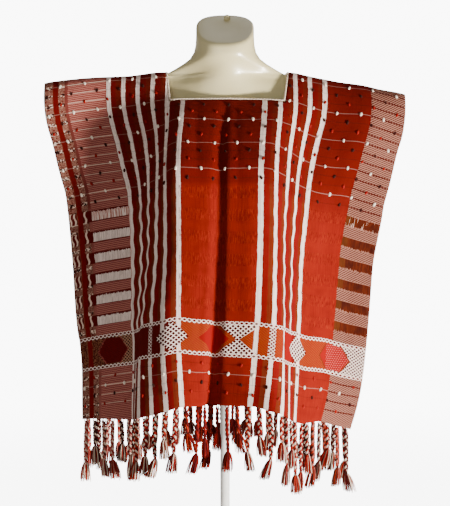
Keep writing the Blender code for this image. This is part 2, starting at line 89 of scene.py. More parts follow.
frontRows = (
    (74, 16, 120, 12, 190, 28, 250, 44, 352, 44, 455, 43, 545, 21, 32, 16, 3, 1, 9),
    (120, 10, 130, 12, 190, 32, 256, 74, 352, 69, 450, 71, 536, 26, 33, 12, 1, 3, 10),
    (177, 9, 130, 14, 194, 48, 258, 101, 352, 98, 443, 100, 538, 39, 26, 11, -3, 5, 11),
    (235, 8, 128, 17, 196, 71, 260, 123, 352, 119, 440, 124, 540, 54, 20, 10, -5, 8, 12),
    (350, -4, 121, 18, 196, 82, 262, 133, 352, 127, 443, 130, 538, 53, 4, -4, -6, 11, 14),
    (500, -14, 118, 30, 184, 94, 248, 138, 350, 127, 455, 133, 538, 61, 3, -5, -10, 14, 16),
    (572, -20, 118, 33, 180, 99, 252, 141, 349, 121, 462, 136, 537, 70, 8, -9, -14, 16, 18),
    (665, -19, 119, 38, 177, 105, 262, 139, 348, 106, 475, 144, 536, 89, 13, -13, -18, 18, 20),
)
backColumns = ("t", "edgeL", "sideL", "bladeL", "bladeR", "sideR", "edgeR", "fold")
backRows = (
    (74, 20, 34, 60, 60, 34, 22, 0),
    (120, 21, 42, 78, 78, 42, 22, 1),
    (177, 12, 46, 92, 92, 46, 12, 3),
    (235, -8, 40, 98, 98, 40, -12, 8),
    (350, 9, 54, 116, 116, 52, 7, 30),
    (500, 20, 66, 132, 132, 66, 14, 48),
    (572, 24, 70, 137, 137, 70, 22, 54),
    (665, 38, 78, 140, 140, 78, 46, 58),
)
backSideAt, backBladeAt = 105, 205
backFoldRows = ((214, 44, 0.8), (303, 46, 1.0), (396, 48, 0.92), (484, 42, 0.85))  # at, half width, share
grooveTop, grooveHem = 350, 338

sample = 0.001
sSamples = np.arange(0, cloth["width"] + sample / 2, sample)
tSamples = np.arange(0, cloth["halfLength"] + 0.010 + sample / 2, sample)


def tableColumn(rows, names, name):
    return np.array([row[names.index(name)] for row in rows], float) * mm


def smoothThrough(at, values, wanted):
    steps = np.diff(at)
    slopes = np.diff(values) / steps
    tangents = np.zeros(len(at))
    for i in range(1, len(at) - 1):
        if slopes[i - 1] * slopes[i] > 0:
            tangents[i] = 2 / (1 / slopes[i - 1] + 1 / slopes[i])
    tangents[0], tangents[-1] = slopes[0], slopes[-1]
    inside = np.clip(wanted, at[0], at[-1])
    left = np.clip(np.searchsorted(at, inside, side="right") - 1, 0, len(at) - 2)
    f = (inside - at[left]) / steps[left]
    f2, f3 = f**2, f**3
    return (
        (2 * f3 - 3 * f2 + 1) * values[left] + (f3 - 2 * f2 + f) * steps[left] * tangents[left]
        + (3 * f2 - 2 * f3) * values[left + 1] + (f3 - f2) * steps[left] * tangents[left + 1]
    )


def rounded(profile):
    half = round(cloth["foldRound"] / sample / 2)
    for _ in range(2):
        low = profile[0] - (profile[1:half + 1] - profile[0])[::-1]
        high = profile[-1] - (profile[-half - 1:-1] - profile[-1])[::-1]
        joined = np.concatenate([low, profile, high])
        profile = np.convolve(joined, np.ones(2 * half + 1) / (2 * half + 1), "valid")
    return profile


def frontSection(v, t):
    at = [0, v["footLAt"], v["riseLAt"], v["browLAt"], v["troughAt"], v["browRAt"], v["footRAt"],
          cloth["width"] - 68 * mm, cloth["width"]]
    names = ("edgeL", "footL", "riseL", "browL", "trough", "browR", "footR", "bandR", "edgeR")
    profile = rounded(np.interp(sSamples, at, [v[n] for n in names]))
    grooveAt = (grooveTop + (grooveHem - grooveTop) * t / cloth["halfLength"]) * mm
    return profile - v["groove"] * np.exp(-(((sSamples - grooveAt) / v["grooveWidth"]) ** 2))


def backSection(v, t):
    at = [0, backSideAt * mm, backBladeAt * mm, cloth["width"] - backBladeAt * mm,
          cloth["width"] - backSideAt * mm, cloth["width"]]
    names = ("edgeL", "sideL", "bladeL", "bladeR", "sideR", "edgeR")
    profile = np.interp(sSamples, at, [v[n] for n in names])
    for foldAt, half, share in backFoldRows:
        near = 1 - np.clip(np.abs(sSamples - foldAt * mm) / (half * mm), 0, 1)
        profile = profile - v["fold"] * share * near
    return rounded(profile)


def tableDepth(rows, names, section):
    levels = tableColumn(rows, names, "t")
    below = np.flatnonzero(tSamples >= levels[0])
    curves = {n: smoothThrough(levels, tableColumn(rows, names, n), tSamples[below]) for n in names[1:]}
    depth = np.zeros((len(tSamples), len(sSamples)))
    for k, row in enumerate(below):
        depth[row] = section({n: curves[n][k] for n in curves}, tSamples[row])
    first = below[0]
    reach, met = tSamples[first], depth[first]
    slope = (depth[first + 6] - met) / (6 * sample)
    spare = np.maximum(met - slope * reach, 0.004)
    turn = spare / np.maximum(1 - slope, 0.2)
    for row in range(first):
        t = tSamples[row]
        share = (1 - np.exp(-t / turn)) / (1 - np.exp(-reach / turn))
        depth[row] = slope * t + (met - slope * reach) * share
    return depth


def widthsFrom(depth, ridge):
    flatLeft = sample**2 - np.diff(depth, axis=1) ** 2 - np.diff(ridge)[None, :] ** 2
    steps = np.sqrt(np.maximum(flatLeft, (0.18 * sample) ** 2))
    return np.concatenate([np.zeros((len(depth), 1)), np.cumsum(steps, axis=1)], axis=1)


def heightsFrom(x, depth, ridge):
    flatLeft = sample**2 - np.diff(x, axis=0) ** 2 - np.diff(depth, axis=0) ** 2
    steps = np.sqrt(np.maximum(flatLeft, (0.05 * sample) ** 2))
    return np.concatenate([ridge[None, :], ridge[None, :] - np.cumsum(steps, axis=0)])


ridgeLine = smoothThrough(*(tableColumn(ridgeRows, ridgeColumns, name) for name in ridgeColumns), sSamples)


def frontForm():
    depth = tableDepth(frontRows, frontColumns, frontSection)
    x = widthsFrom(depth, ridgeLine)
    levels = np.concatenate([[0], tableColumn(frontRows, frontColumns, "t")])
    centres = np.concatenate([[3 * mm], tableColumn(frontRows, frontColumns, "centreX")])
    middle = round(352 * mm / sample)
    x = x - x[:, middle:middle + 1] + smoothThrough(levels, centres, tSamples)[:, None]
    return np.stack([x, -depth, heightsFrom(x, depth, ridgeLine)], axis=2)


def backForm(front):
    depth = tableDepth(backRows, backColumns, backSection)
    x = widthsFrom(depth, ridgeLine)
    left, right = front[:, :1, 0], front[:, -1:, 0]
    x = left + x * (right - left) / x[:, -1:]
    back = np.stack([x, depth, heightsFrom(x, depth, ridgeLine)], axis=2)
    sewn = np.clip((tSamples - cloth["underarm"] + 0.035) / 0.035, 0, 1)
    opened = np.clip((tSamples - cloth["slit"]) / (cloth["halfLength"] - cloth["slit"]), 0, 1)
    pull = (sewn * sewn * (3 - 2 * sewn) * (1 - opened))[:, None]
    for edge, distance in ((0, sSamples), (-1, cloth["width"] - sSamples)):
        near = np.clip(1 - distance / 0.090, 0, 1)
        near = (near * near * (3 - 2 * near))[None, :, None]
        back = back + near * ((front[:, edge] - back[:, edge]) * pull)[:, None, :]
    return back


def pointOn(form, s, t):
    c = min(max(s / sample, 0), len(sSamples) - 1.001)
    r = min(max(t / sample, 0), len(tSamples) - 1.001)
    i, j = int(r), int(c)
    a, b = r - i, c - j
    quad = form[i:i + 2, j:j + 2]
    top = quad[0, 0] * (1 - b) + quad[0, 1] * b
    low = quad[1, 0] * (1 - b) + quad[1, 1] * b
    return Vector(top * (1 - a) + low * a)


def outwardAt(form, s, t, facing):
    reach = 2 * sample
    s = min(max(s, reach), cloth["width"] - reach)
    t = min(max(t, reach), cloth["halfLength"] + 0.010 - 2 * reach)
    across = pointOn(form, s + reach, t) - pointOn(form, s - reach, t)
    down = pointOn(form, s, t + reach) - pointOn(form, s, t - reach)
    return down.cross(across).normalized() * facing


# Creases too small for the solids, in mm: s, first and last t, depth, width and drift along s
creases = {
    "front": (
        (352, 76, 657, 4.2, 3.8, 7), (232, 74, 330, 2.2, 7, -18), (296, 80, 250, 1.6, 9, 10),
        (318, 300, 657, 1.8, 8, -14), (372, 76, 300, 1.4, 8, 12), (403, 240, 657, -3.0, 17, 6),
        (214, 260, 520, 2.0, 7, 16),
        (168, 250, 657, 2.2, 8, -4), (492, 230, 560, 2.4, 7, -8), (514, 180, 657, 2.0, 7, 6),
        (585, 90, 420, 2.0, 14, 10), (80, 60, 330, 1.8, 16, -12), (60, 380, 657, 1.6, 14, 8),
        (655, 300, 640, 1.4, 10, 6), (566, 420, 657, 1.8, 12, -14),
    ),
    "back": (
        (120, 90, 420, 2.0, 12, 14), (182, 240, 657, 2.2, 9, 10), (250, 120, 360, 1.8, 10, -12),
        (330, 70, 300, 1.8, 9, 8), (362, 320, 657, 2.2, 9, -10), (438, 90, 330, 1.6, 10, 12),
        (450, 360, 657, 2.0, 9, 8), (530, 240, 657, 2.2, 10, -12), (600, 100, 480, 1.8, 14, -10),
        (70, 300, 657, 1.6, 14, 6),
    ),
}


# How far a crease or the float rows' pucker moves the cloth at (s, t), in metres: outward and across
def creaseAt(side, s, t):
    out = 0.0
    for at, start, end, deep, wide, drift in creases[side]:
        here = t / mm
        if start < here < end:
            share = (here - start) / (end - start)
            middle = at + drift * share + 1.5 * math.sin(here / 37 + at)
            fade = math.sin(math.pi * share) ** 0.6
            out -= deep * fade * math.exp(-(((s / mm - middle) / wide) ** 2))
    puckerS = math.exp(-(((s / mm - 160) / 70) ** 2)) + 0.6 * math.exp(-(((s / mm - 500) / 60) ** 2))
    puckerT = min(max((t / mm - 245) / 20, 0), 1) * min(max((505 - t / mm) / 20, 0), 1)
    wave = 2 * math.pi * (t / mm - 262) / 40.3
    across = 0.4 * math.sin(wave + s / mm * 0.012) * puckerS * puckerT
    out += 0.9 * math.cos(wave + s / mm * 0.02) * (puckerS + 0.25) * puckerT
    out += 0.35 * math.sin(s / mm / 17 + t / mm / 43) + 0.3 * math.sin(t / mm / 21 - s / mm / 29)
    return out * mm, across * mm


nearly = 1e-6


def neckS(s, t, neckT):
    rise = max(0, 1 - t / neckT) * cloth["neckFlare"]
    if s <= cloth["neckLeft"] + nearly:
        return s - rise * s / cloth["neckLeft"]
    if s >= cloth["neckRight"] - nearly:
        return s + rise * (cloth["width"] - s) / (cloth["width"] - cloth["neckRight"])
    return s


def spreadBetween(stops, total):
    values = [stops[0]]
    for low, high in zip(stops, stops[1:]):
        count = max(1, round(total * (high - low) / (stops[-1] - stops[0])))
        values += [low + (high - low) * k / count for k in range(1, count + 1)]
    return values


def surfaceAt(form, side, s, t, facing, lift):
    out, across = creaseAt(side, s, t)
    easeEdge = min(1, s / 0.012, (cloth["width"] - s) / 0.012, (t + 0.002) / 0.03)
    normal = outwardAt(form, s, t, facing)
    return pointOn(form, s, t) + normal * (lift + out * easeEdge) + Vector((across * easeEdge, 0, 0))


def sheet(name, side, finish):
    form, facing, neckT = halves[side]
    edge = cloth["shoulderGap"] / 2
    stops = [edge, cloth["neckLeft"], cloth["neckRight"], cloth["width"] - edge]
    sLines = spreadBetween(stops, cloth["columns"])
    upper = spreadBetween([edge, neckT], round(neckT / cloth["rowStep"]) + 4)
    lowerRows = round((cloth["halfLength"] - neckT) / cloth["rowStep"])
    lower = spreadBetween([neckT, cloth["halfLength"]], lowerRows)
    tLines = upper + lower[1:]
    grid = bmesh.new()
    bmesh.ops.create_grid(grid, x_segments=len(sLines) - 1, y_segments=len(tLines) - 1, size=1)
    grid.verts.ensure_lookup_table()
    uv = grid.loops.layers.uv.new("cloth")
    spots = []
    for k, vertex in enumerate(grid.verts):
        t = tLines[k // len(sLines)]
        s = neckS(sLines[k % len(sLines)], t, neckT)
        spots.append((s, t))
        vertex.co = surfaceAt(form, side, s, t, facing, cloth["liftOffSolid"])
    hole = []
    for face in grid.faces:
        for loop in face.loops:
            loop[uv].uv = spots[loop.vert.index]
        at = [(sLines[v.index % len(sLines)], tLines[v.index // len(sLines)]) for v in face.verts]
        low, high = cloth["neckLeft"] - nearly, cloth["neckRight"] + nearly
        if all(low <= s <= high and t <= neckT + nearly for s, t in at):
            hole.append(face)
    bmesh.ops.delete(grid, geom=hole, context="FACES")
    first = next(iter(grid.faces))
    first.normal_update()
    if first.normal.y * first.calc_center_median().y < 0:
        bmesh.ops.reverse_faces(grid, faces=grid.faces)
    made = pieceFrom(name, grid, finish)
    solid = made.modifiers.new("thickness", "SOLIDIFY")
    solid.thickness = cloth["thickness"]
    solid.offset = 1
    return made


# Colours are typed as seen on a screen
def colour(*seen):
    return (*(c / 255 / 12.92 if c < 11 else ((c / 255 + 0.055) / 1.055) ** 2.4 for c in seen), 1)


# A shader value that can be used in plain sums
class Value:
    def __init__(self, tree, socket):
        self.tree, self.socket = tree, socket

    def does(self, operation, *others):
        node = self.tree.nodes.new("ShaderNodeMath")
        node.operation = operation
        for k, value in enumerate((self, *others)):
            if isinstance(value, Value):
                self.tree.links.new(value.socket, node.inputs[k])
            else:
                node.inputs[k].default_value = value
        return Value(self.tree, node.outputs[0])

    def __invert__(self):
        return (self * -1) + 1

    def between(self, low, high):
        return (self > low) & (self < high)

    def kept(self, low, high):
        return self.does("MAXIMUM", low).does("MINIMUM", high)


def mathNamed(operation):
    return lambda value, *others: value.does(operation, *others)


for name, operation in (
    ("__add__", "ADD"), ("__sub__", "SUBTRACT"), ("__mul__", "MULTIPLY"), ("__truediv__", "DIVIDE"),
    ("__lt__", "LESS_THAN"), ("__gt__", "GREATER_THAN"), ("__and__", "MULTIPLY"), ("__or__", "MAXIMUM"),
    ("abs", "ABSOLUTE"), ("sin", "SINE"), ("floor", "FLOOR"), ("part", "FRACT"),
):
    setattr(Value, name, mathNamed(operation))


def newMaterial(name, roughness, sheen=0.0, coat=0.0, shine=0.5):
    made = bpy.data.materials.new(name)
    made.use_nodes = True
    shader = made.node_tree.nodes["Principled BSDF"]
    for socket, value in (
        ("Roughness", roughness), ("Sheen Weight", sheen), ("Sheen Roughness", 0.5),
        ("Sheen Tint", colour(220, 110, 80)), ("Specular IOR Level", shine), ("Coat Weight", coat),
    ):
        shader.inputs[socket].default_value = value
    return made, made.node_tree, shader


def mixed(factor, first, second):
    tree = factor.tree
    node = tree.nodes.new("ShaderNodeMix")
    node.data_type = "RGBA"
    for key, value in ((0, factor), (6, first), (7, second)):
        if isinstance(value, Value):
            tree.links.new(value.socket, node.inputs[key])
        elif isinstance(value, bpy.types.NodeSocket):
            tree.links.new(value, node.inputs[key])
        else:
            node.inputs[key].default_value = value
    return node.outputs[2]


def textureAt(kind, x, y):
    tree = x.tree
    vector = tree.nodes.new("ShaderNodeCombineXYZ")
    for k, value in enumerate((x, y)):
        tree.links.new(value.socket, vector.inputs[k])
    node = tree.nodes.new(kind)
    node.noise_dimensions = "2D"
    tree.links.new(vector.outputs[0], node.inputs["Vector"])
    return node


def noiseAt(x, y, scale=1.0, detail=2.0):
    node = textureAt("ShaderNodeTexNoise", x, y)
    node.inputs["Scale"].default_value = scale
    node.inputs["Detail"].default_value = detail
    return Value(x.tree, node.outputs[0])


def cellsAt(x, y):
    return Value(x.tree, textureAt("ShaderNodeTexWhiteNoise", x.floor(), y.floor()).outputs[0])


# Noise through the piece itself
def grainIn(tree, scale, detail):
    place = tree.nodes.new("ShaderNodeTexCoord")
    node = tree.nodes.new("ShaderNodeTexNoise")
    tree.links.new(place.outputs["Object"], node.inputs["Vector"])
    node.inputs["Scale"].default_value = scale
    node.inputs["Detail"].default_value = detail
    return Value(tree, node.outputs[0])


def raised(shader, height, strength, distance):
    tree = height.tree
    bump = tree.nodes.new("ShaderNodeBump")
    bump.inputs["Strength"].default_value = strength
    bump.inputs["Distance"].default_value = distance
    tree.links.new(height.socket, bump.inputs["Height"])
    tree.links.new(bump.outputs[0], shader.inputs["Normal"])


def ramped(factor, stops):
    node = factor.tree.nodes.new("ShaderNodeValToRGB")
    ramp = node.color_ramp
    ramp.interpolation = "CONSTANT"
    while len(ramp.elements) < len(stops):
        ramp.elements.new(0.5)
    for element, (position, shade) in zip(ramp.elements, stops):
        element.position = position
        element.color = shade
    factor.tree.links.new(factor.socket, node.inputs[0])
    return node.outputs[0]


# The wefts bow a little: at each s, how far down the cloth they lie from their place, in mm
weftBow = (
    (0, 6), (30, 2.5), (80, -3), (116, -7), (182, -10), (226, -6), (300, 2), (380, 6), (440, 9), (465, 5),
    (538, -4), (590, -1), (632, 5), (664, 3.5), (700, 1),
)
# How much of the bow shows: left of leftEnd most of it from the top on, elsewhere it grows from midTop down
bowing = {
    "most": 12, "leftEnd": 200, "leftFade": 80, "atTop": 0.7, "sideTop": 176, "sideFade": 84,
    "midTop": 200, "midFade": 300,
}


def weftShift(s, t):
    b = bowing
    bow = float(np.interp(s, [at for at, _ in weftBow], [down for _, down in weftBow]))
    sideShare = b["atTop"] + (1 - b["atTop"]) * min(max((t - b["sideTop"]) / b["sideFade"], 0), 1)
    midShare = min(max((t - b["midTop"]) / b["midFade"], 0), 1)
    near = min(max((b["leftEnd"] - s) / b["leftFade"], 0), 1)
    return bow * (near * sideShare + (1 - near) * midShare)


# The weave's colours
dyeShades = {
    "white": (251, 228, 217), "cream": (232, 198, 178), "orange": (128, 24, 10),
    "crimson": (120, 14, 10), "olive": (108, 38, 16), "darkRed": (92, 8, 6), "tan": (150, 104, 80),
    "pink": (186, 116, 104), "maroon": (106, 25, 22), "bandPale": (156, 106, 90),
    "bandDark": (62, 22, 17), "rust": (88, 31, 12), "rustDark": (50, 14, 8), "black": (38, 14, 12),
    "grey": (176, 150, 138),
}
dye = {name: colour(*seen) for name, seen in dyeShades.items()}

# The weave's measures in mm
weave = {
    "rowFirst": 17.0, "rowPitch": 17.667, "upperEnd": 255.0, "lowerStart": 575.0,
    "blockFirst": 262.0, "blockPitch": 40.3, "blockTall": 21.5, "blocksEnd": 484.0,
    "brocadeTop": 503.0, "brocadeMiddle": 535.5, "brocadeEnd": 568.0, "borderAt": 29.6,
    "innerHalf": 27, "chainTurn": 8.9, "chainSwing": 3.1, "chainLine": 1.0,
    "lattice": (9.6, 8.0), "fineLattice": (7.4, 6.4), "latticeShare": 0.27,
    "selvedgeRed": 17.0, "selvedgeTan": 28.0, "fineStart": 46.0, "fineEnd": 119.0, "bandStart": 632.0,
}
# Where each colour starts across the cloth, in mm from the left selvedge
stripe = ((0, "white"), (8.5, "crimson"), (20, "olive"))
warpLeft = (
    (0, "tan"), (17, "crimson"), (28, "tan"), (40, "pink"), (46, "pink"),
    *((start + at, name) for start in (119, 148, 177, 206, 235) for at, name in stripe),
    (264, "white"), (273, "orange"),
)
warpRight = (
    (350, "orange"), (419, "white"), (428, "crimson"), (440, "olive"), (449, "white"), (458, "crimson"),
    (470, "olive"), (479, "white"), (487.5, "crimson"), (499, "olive"), (508, "white"), (516.5, "crimson"),
    (528, "olive"), (537, "white"), (546, "orange"), (632, "bandPale"),
)


def clothMaterial():
    made, tree, shader = newMaterial("handWovenCloth", 0.9, sheen=0.03, shine=0.06)
    uv = tree.nodes.new("ShaderNodeUVMap")
    uv.uv_map = "cloth"
    split = tree.nodes.new("ShaderNodeSeparateXYZ")
    tree.links.new(uv.outputs[0], split.inputs[0])
    sTrue = Value(tree, split.outputs[0]) * 1000
    tTrue = Value(tree, split.outputs[1]) * 1000
    b, wide = bowing, cloth["width"] / mm
    bow = tree.nodes.new("ShaderNodeFloatCurve")
    points = bow.mapping.curves[0].points
    while len(points) < len(weftBow):
        points.new(0.5, 0.5)
    for point, (at, down) in zip(points, weftBow):
        point.location = (at / wide, (down + b["most"]) / (2 * b["most"]))
        point.handle_type = "VECTOR"
    bow.mapping.update()
    tree.links.new((sTrue / wide).socket, bow.inputs["Value"])
    near = ((sTrue * -1 + b["leftEnd"]) / b["leftFade"]).kept(0, 1)
    sideShare = ((tTrue - b["sideTop"]) / b["sideFade"]).kept(0, 1) * (1 - b["atTop"]) + b["atTop"]
    midShare = ((tTrue - b["midTop"]) / b["midFade"]).kept(0, 1)
    down = Value(tree, bow.outputs[0]) * (2 * b["most"]) - b["most"]
    t = tTrue - down * (near * sideShare + (~near) * midShare)
    s = sTrue + (noiseAt(sTrue, t, 0.09) - 0.5) * 2.2
    w = weave
    half = wide / 2
    left = ramped(s / half, [(at / half, dye[name]) for at, name in warpLeft])
    right = ramped(s / half - 1, [((at - half) / half, dye[name]) for at, name in warpRight])
    shade = mixed(s > half, left, right)

    # A colour laid over what is there, where the mask is one
    def lay(where, over):
        nonlocal shade
        shade = mixed(where, shade, over)

    # The warp's own unevenness in long streaks, and painted shade above the float rows, where the dyed
    # yarns are darkened
    streak = noiseAt(sTrue * 1.1, t * 0.012, detail=3.0)
    channels = tree.nodes.new("ShaderNodeSeparateColor")
    tree.links.new(shade, channels.inputs[0])
    dyed = Value(tree, channels.outputs[1]) < 0.2
    rightField = s.between(546, w["bandStart"])
    upper = ((t * -1 + w["blockFirst"]) / 9).kept(0, 1)
    # Painted shade: above the float rows the dyed yarns are darkened towards dark red, where the upper
    # chest faces away from the low light
    lay(upper & dyed & (~rightField * 0.4 + 0.22), dye["darkRed"])
    # Painted shade over the right shoulder field, darker towards the top, where the shoulder slope misses
    # the low light
    lay(((t * -1 + 310) / 100).kept(0, 1) & rightField & 0.55, colour(80, 8, 6))
    clouds = noiseAt(sTrue * 0.035, t * 0.05)
    lay((clouds - 0.42).kept(0, 0.5) & dyed, dye["darkRed"])
    fineStreak = noiseAt(sTrue * 0.9, t * 0.11)
    lay((streak > 0.56) & (~s.between(40, 119)) & (s < 632) & 0.36, dye["darkRed"])

    fine = s.between(w["fineStart"], w["fineEnd"])
    band = s > w["bandStart"]
    speck = (s < w["selvedgeRed"]) | s.between(w["selvedgeTan"], 40)
    edgeLine = s.between(40, w["fineStart"])
    inBlocks = t.between(w["blockFirst"] - 1, w["blocksEnd"])
    phase = ((t - w["blockFirst"]) / w["blockPitch"]).part() * w["blockPitch"]
    block = inBlocks & (phase < w["blockTall"])
    brocade = t.between(w["brocadeTop"], w["brocadeEnd"])

    # Fine weft stripes of the left band, the twill of the right band, and the speckled edges
    fineStripe = ((t + (fineStreak - 0.5) * 1.8) / 3.4 + s * 0.004).part() > 0.5
    lay(fine, mixed(fineStripe & 0.85, dye["pink"], dye["maroon"]))
    twill = ((t + s * 0.8) / 4.5).part() > 0.5
    lay(band, mixed(twill & 0.9, dye["bandPale"], dye["bandDark"]))
    row = (t - w["rowFirst"]) / w["rowPitch"] + 0.5
    fromRow = ((row.part() - 0.5) * w["rowPitch"]).abs()
    cells = cellsAt(sTrue / 2.5, t / 2.3)
    small = cellsAt(sTrue / 1.4, t / 1.5)
    specks = mixed(small, colour(104, 56, 44), colour(172, 124, 106))
    specks = mixed((streak > 0.52) & 0.35, specks, dye["maroon"])
    specks = mixed((fromRow < 3.4) & (cells > 0.66), specks, dye["cream"])
    specks = mixed((fromRow < 3.4) & (cells < 0.30), specks, dye["black"])
    specks = mixed(cells.between(0.45, 0.52), specks, dye["darkRed"])
    lay(speck, specks)
    lay(edgeLine & 0.5, dye["maroon"])

    # Picks at the tuft rows
    plainWeave = ~(fine | band)
    whiteRow = (row.floor() / 3).part() < 0.2
    inRows = t.between(8, w["upperEnd"]) | t.between(w["lowerStart"], 645)
    pick = inRows & (fromRow < 0.75)
    lay(pick & whiteRow & fine, dye["cream"])
    lay(pick & (~whiteRow) & fine & 0.65, dye["cream"])
    lay(inRows & (fromRow < 1.1) & band, colour(66, 14, 11))
    lay(pick & whiteRow & plainWeave & 0.16, dye["cream"])
    lay(inRows & (fromRow < 0.8) & (~whiteRow) & plainWeave & 0.22, dye["black"])

    # Long floats between the fine bands
    hair = noiseAt(sTrue * 0.75, t * 0.03)
    ragged = noiseAt(sTrue * 0.55, t * 0.01, detail=1.0)
    topEdge = block & (phase < (ragged * 7.0))
    lowEdge = block & (phase > (w["blockTall"] - 1.6))
    floats = mixed((hair > 0.5) & 0.55, dye["white"], dye["grey"])
    floats = mixed((t < 290) & (hair > 0.47) & 0.8, floats, dye["pink"])
    lay(fine & block, floats)
    lay(fine & (topEdge | lowEdge), dye["darkRed"])
    lay(edgeLine & block, dye["darkRed"])
    wavy = s + (phase / w["blockTall"] * 6.283).sin() * 1.4
    creamLines = ((wavy - 4).abs() < 1.7) | ((wavy - 12.5).abs() < 1.7) | ((wavy - 33).abs() < 1.9)
    lay(speck & block, mixed(creamLines, dye["darkRed"], dye["cream"]))
    rustFloats = mixed((hair > 0.52) & 0.6, dye["rust"], dye["rustDark"])
    patches = noiseAt(sTrue * 0.07, t * 0.05, detail=1.0)
    rustFloats = mixed((patches - 0.42) * 2.4, rustFloats, dye["rustDark"])
    rustFloats = mixed((s < 644) & 0.4, rustFloats, colour(92, 50, 18))
    rustFloats = mixed((t < 290) & (hair > 0.66), rustFloats, dye["cream"])
    lay(band & block, rustFloats)
    tips = block & (phase > (ragged * -9.0 + (w["blockTall"] + 2.2)))
    lay(band & (tips | (block & (phase < 1.2))) & 0.85, dye["bandPale"])
    plain = s.between(270, 420) | s.between(545, 632)
    dashes = plain & block & (noiseAt(sTrue * 0.62, t * 0.09) > 0.53)
    lay(dashes & 0.60, dye["darkRed"])
    lightDashes = plain & block & (noiseAt(sTrue * 0.62, t * 0.08 + 40) > 0.58)
    lay(lightDashes & 0.30, colour(168, 48, 18))

    # The brocaded band: fields, solid diamonds, open lattices and two chain borders
    v = t - w["brocadeMiddle"]
    va = v.abs()
    inner = brocade & (va < w["innerHalf"])

    def latticeOf(wide, tall):
        falling, rising = (sTrue / wide + v / tall).part(), (sTrue / wide - v / tall + 60).part()
        return (falling < w["latticeShare"]) | (rising < w["latticeShare"])

    def outFrom(at, halfWide, halfTall):
        return (s - at).abs() / halfWide + va / halfTall

    lattice, fineLattice = latticeOf(*w["lattice"]), latticeOf(*w["fineLattice"])
    smallDots = (((sTrue + v * 1.4) / 4.2).part() < 0.42) & (((sTrue * 0.6 - v + 600) / 4.4).part() < 0.5)
    lay(inner & s.between(128, 262) & (~s.between(234, 244)), dye["darkRed"])
    leftField = mixed(small > 0.62, colour(78, 22, 16), colour(134, 84, 58))
    lay(inner & (s < 119) & (~s.between(17, 28)), leftField)
    lay(inner & s.between(485, 522), colour(134, 10, 8))
    orangeFields = inner & (s.between(273, 419) | rightField | s.between(428, 479))
    lay(orangeFields, colour(128, 33, 12))
    lay(orangeFields & smallDots & 0.8, colour(166, 74, 24))
    fromLeft = outFrom(74, 32, 46)
    leftDiamond = inner & (va < 24) & (fromLeft < 1)
    wrapLeft = inner & s.between(78, 119) & (~leftDiamond)
    lay(wrapLeft, mixed(fineLattice, colour(58, 14, 11), colour(186, 138, 108)))
    lay(inner & (va < 25) & fromLeft.between(1, 1.12) & (small > 0.4), colour(150, 70, 62))
    lay(leftDiamond, mixed(smallDots & 0.7, colour(98, 10, 12), colour(62, 4, 6)))
    centreDiamond = inner & (va < 25) & (outFrom(341, 34, 30) < 1)
    lay(centreDiamond, colour(132, 9, 7))
    rhombus = inner & ((outFrom(256, 32, 27) < 1) | (outFrom(537, 29, 27) < 1))
    hourglass = inner & (((s - 391).abs() / 36) < ((va + 2) / 27))
    lay(rhombus | hourglass, mixed(lattice, colour(70, 8, 8), dye["white"]))
    lay(inner & s.between(479, 487.5) & ((s - 483).abs() > (va * 0.16 + 0.6)), dye["crimson"])
    dotted = inner & (((s - 210).abs() < 4.6) | ((s - 453.5).abs() < 6.0))
    lay(dotted, mixed(fineLattice & 0.8, dye["darkRed"], dye["white"]))
    fromRight = outFrom(635, 33, 44)
    rightDiamond = inner & (va < 24) & (fromRight < 1)
    wrapRight = inner & (s > 632) & (~rightDiamond)
    lay(wrapRight, mixed(fineLattice, colour(66, 16, 14), dye["white"]))
    lay(inner & (va < 25) & fromRight.between(1, 1.10), dye["olive"])
    flecks = ((sTrue / 4.4 + v / 9.0).part() < 0.5) & ((v / 3.6 + sTrue / 12).part() < 0.45)
    lay(rightDiamond, colour(142, 14, 10))
    lay(rightDiamond & (s > 618), mixed(flecks, colour(140, 14, 14), colour(190, 86, 80)))
    chainWave = (sTrue * (math.pi / w["chainTurn"])).sin().abs() * w["chainSwing"]
    fromBorder = (va - w["borderAt"]).abs()
    chain = brocade & ((fromBorder - chainWave).abs() < w["chainLine"])
    holes = brocade & (fromBorder < chainWave)
    lay(holes & 0.9, dye["darkRed"])
    lay(chain, dye["white"])

    # Fine unevenness of the yarn
    grain = noiseAt(sTrue * 0.8, t * 0.8, detail=3.0)
    lay((grain - 0.35) * 0.5, dye["black"])
    tree.links.new(shade, shader.inputs["Base Color"])

    # Relief: ribs of the warp, the picks, floats, lattice and chains
    ribs = (sTrue * (2 * math.pi / 1.8)).sin() * 0.10 + (t * (2 * math.pi / 1.5)).sin() * 0.10
    height = ribs + pick * 0.5 + ((fine | band) & block & 0.35) + (hair * 0.6 & block)
    height = height + ((rhombus | hourglass | wrapLeft | wrapRight) & lattice & 0.8) + chain * 1.2
    height = height + (leftDiamond | rightDiamond) * 0.4 + fineStripe * fine * 0.12
    height = height + twill * band * 0.25 + grain * 0.5
    raised(shader, height, strength=0.6, distance=0.8 * mm)
    return made


def yarnMaterial(name, main, second):
    made, tree, shader = newMaterial(name, 0.85, sheen=0.03, shine=0.10)
    grain = grainIn(tree, scale=420, detail=3)
    tree.links.new(mixed((grain - 0.3) * 1.3, main, second), shader.inputs["Base Color"])
    raised(shader, grain, strength=0.5, distance=0.4 * mm)
    return made


print("tables and materials ready")
frontCloth = frontForm()
backCloth = backForm(frontCloth)
wovenCloth = clothMaterial()
halves = {"front": (frontCloth, 1, cloth["neckFront"]), "back": (backCloth, -1, cloth["neckBack"])}
front, back = (sheet(side + "Cloth", side, wovenCloth) for side in halves)
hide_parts("blouse_front")
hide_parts("blouse_back")
for piece in (front, back):
    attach(piece, "root")
print("cloth laid over the form")

